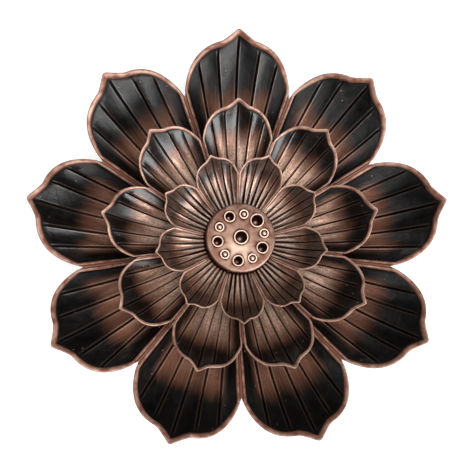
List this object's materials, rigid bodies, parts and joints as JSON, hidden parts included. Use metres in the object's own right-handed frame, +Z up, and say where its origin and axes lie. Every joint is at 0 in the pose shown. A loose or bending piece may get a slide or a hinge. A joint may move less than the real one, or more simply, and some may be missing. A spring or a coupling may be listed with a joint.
{
  "type": "palo santo holder",
  "caption": "Cast lotus flower holder: turning tiers of petals catch ash and carry palo santo, round a drilled pod for incense sticks.",
  "frame": {"origin": "middle of the resting face, on the axis that the tiers turn about", "axes": "+Z up along the turning axis, +Y through the tip of one outer petal"},
  "size_m": [0.1088, 0.1071, 0.0246],
  "materials": {
    "blackened_copper": "red copper plate on cast zinc alloy, blackened, relieved and lacquered",
    "satin_copper": "red copper plate, satin, with dark hollows",
    "zinc_plated_steel": "bright zinc plate",
    "black_felt": "pressed felt"
  },
  "bodies": {
    "base": {"outer_petal_tier": "blackened_copper", "base_pad": "black_felt"},
    "middle_tier": {"middle_petal_tier": "blackened_copper"},
    "inner_tier": {"inner_petal_tier": "blackened_copper"},
    "spindle": {"seed_pod": "satin_copper", "centre_screw": "zinc_plated_steel", "spring_washer": "zinc_plated_steel", "flat_washer": "zinc_plated_steel"}
  },
  "joints": [
    {"name": "middle_tier_turn", "type": "hinge", "parent": "base", "child": "middle_tier", "pos_m": [0, 0, 0.0089], "axis": [0, 0, 1], "continuous": true},
    {"name": "inner_tier_turn", "type": "hinge", "parent": "base", "child": "inner_tier", "pos_m": [0, 0, 0.012], "axis": [0, 0, 1], "continuous": true},
    {"name": "spindle_turn", "type": "hinge", "parent": "base", "child": "spindle", "pos_m": [0, 0, 0.015], "axis": [0, 0, 1], "continuous": true}
  ]
}
